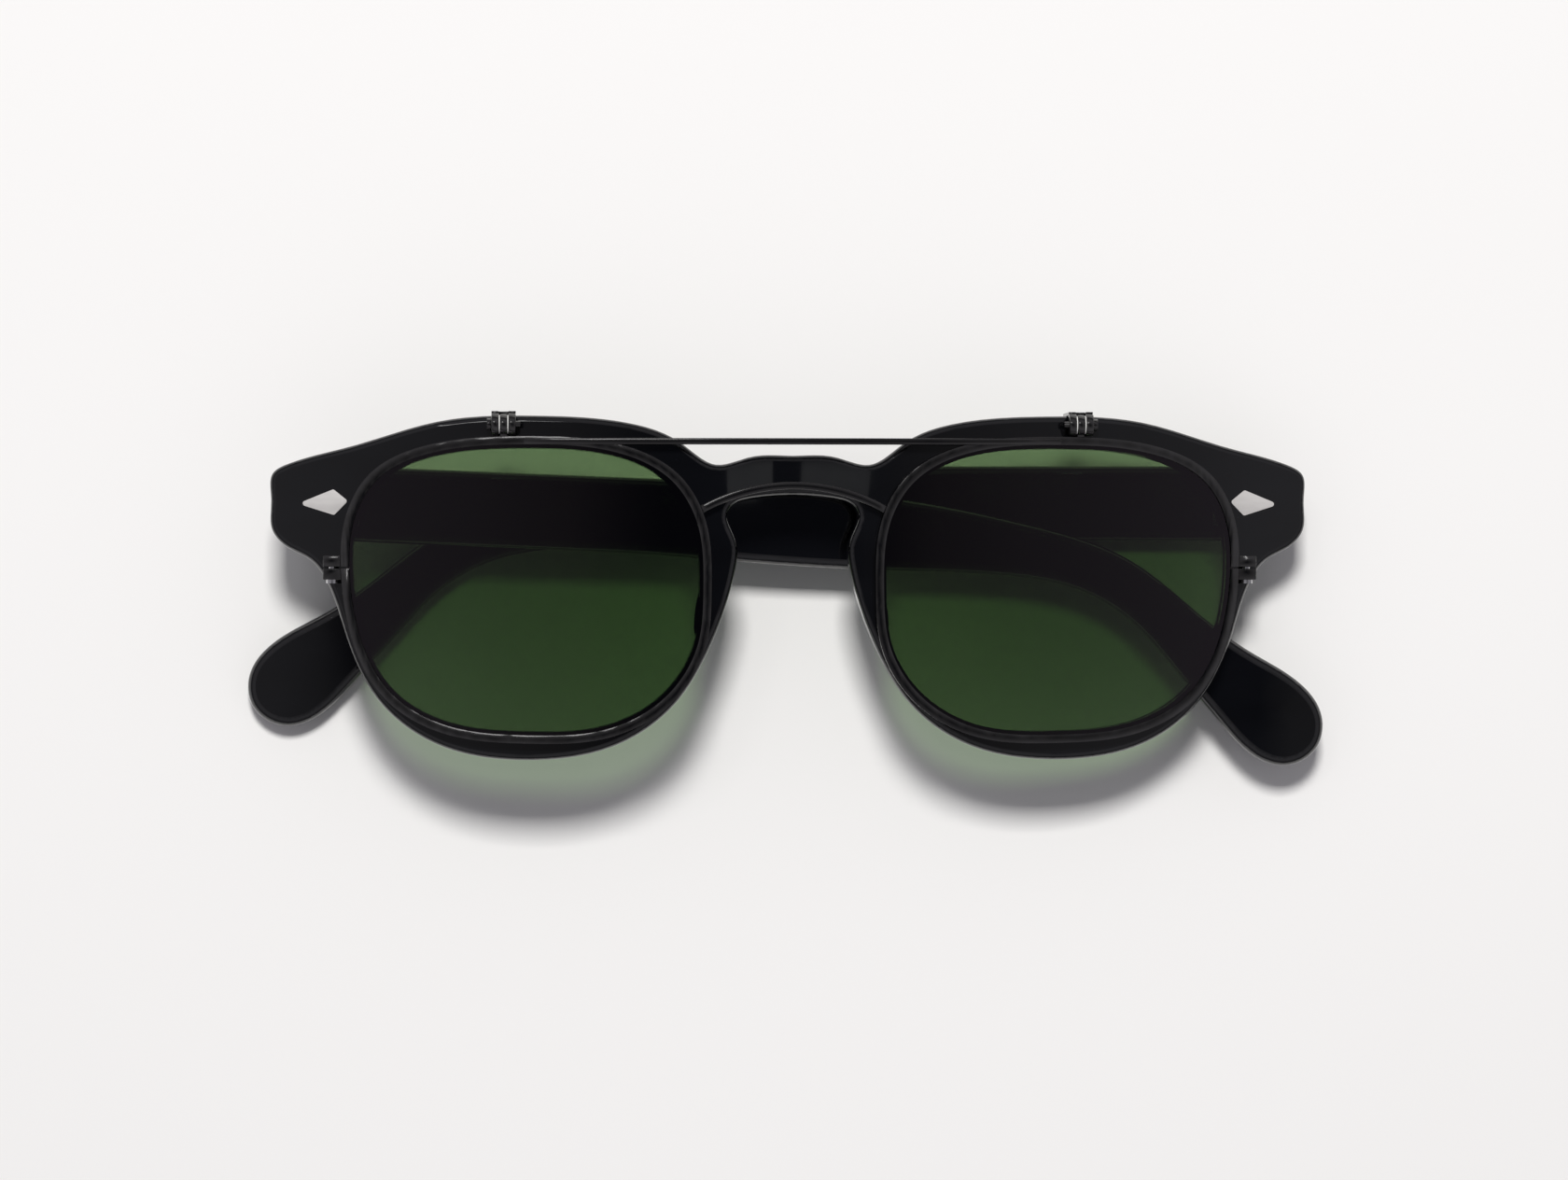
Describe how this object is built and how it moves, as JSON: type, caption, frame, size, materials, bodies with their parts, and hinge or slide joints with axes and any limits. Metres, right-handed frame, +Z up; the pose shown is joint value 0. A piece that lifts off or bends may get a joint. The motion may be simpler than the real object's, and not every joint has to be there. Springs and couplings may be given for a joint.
{
  "type": "clip on flip lenses",
  "caption": "Acetate spectacles with a flip-up clip-on: two tinted lenses in metal rims hinged at the brow, temples folded behind.",
  "frame": {"origin": "centre of the bounding box on the table, under the folded spectacles", "axes": "+Z up from the table towards the viewer of the front, +X to the viewer's right (the wearer's left), +Y up the face towards the brow"},
  "size_m": [0.1482, 0.0482, 0.0259],
  "materials": {
    "black_acetate": "polished",
    "clear_lens": "polished",
    "green_lens": "polished",
    "dark_clip_metal": "polished",
    "silver_rivet": "satin",
    "hinge_steel": "satin",
    "nylon": "matte",
    "soft_sleeve": "matte"
  },
  "bodies": {
    "spectacles": {"front_frame": "black_acetate", "left_front_hinge_plate": "hinge_steel", "left_front_rivet": "silver_rivet", "left_hinge_screw": "hinge_steel", "left_nose_pad": "black_acetate", "left_spectacle_lens": "clear_lens", "right_front_hinge_plate": "hinge_steel", "right_front_rivet": "silver_rivet", "right_hinge_screw": "hinge_steel", "right_nose_pad": "black_acetate", "right_spectacle_lens": "clear_lens", "right_temple": "black_acetate", "right_temple_core_wire": "hinge_steel", "right_temple_hinge_plate": "hinge_steel", "right_temple_rivet": "silver_rivet"},
    "left_temple_arm": {"left_temple": "black_acetate", "left_temple_core_wire": "hinge_steel", "left_temple_hinge_plate": "hinge_steel", "left_temple_rivet": "silver_rivet"},
    "clip_mount": {"left_flip_hinge_pin": "dark_clip_metal", "left_flip_washers": "nylon", "left_hinge_bracket": "dark_clip_metal", "left_hook_sleeve": "soft_sleeve", "right_flip_hinge_pin": "dark_clip_metal", "right_flip_washers": "nylon", "right_hinge_bracket": "dark_clip_metal", "right_hook_sleeve": "soft_sleeve"},
    "flip_frame": {"clip_bridge_arch": "dark_clip_metal", "clip_top_bar": "dark_clip_metal", "left_clip_rim": "dark_clip_metal", "left_flip_knuckle": "dark_clip_metal", "left_rim_lock_lower": "dark_clip_metal", "left_rim_lock_screw": "hinge_steel", "left_rim_lock_upper": "dark_clip_metal", "left_tinted_lens": "green_lens", "right_clip_rim": "dark_clip_metal", "right_flip_knuckle": "dark_clip_metal", "right_rim_lock_lower": "dark_clip_metal", "right_rim_lock_screw": "hinge_steel", "right_rim_lock_upper": "dark_clip_metal", "right_tinted_lens": "green_lens"}
  },
  "joints": [
    {"name": "clip_lift", "type": "slide", "parent": "spectacles", "child": "clip_mount", "axis": [0, 1, 0], "range_m": [0, 0.06]},
    {"name": "clip_flip", "type": "hinge", "parent": "clip_mount", "child": "flip_frame", "pos_m": [0.00125, 0.02231, 0.02224], "axis": [-0.9986, 0, 0.0523], "range_deg": [0, 95]},
    {"name": "left_temple_fold", "type": "hinge", "parent": "spectacles", "child": "left_temple_arm", "pos_m": [0.06441, 0.01201, 0.0065], "axis": [0, -1, 0], "range_deg": [0, 87]}
  ]
}
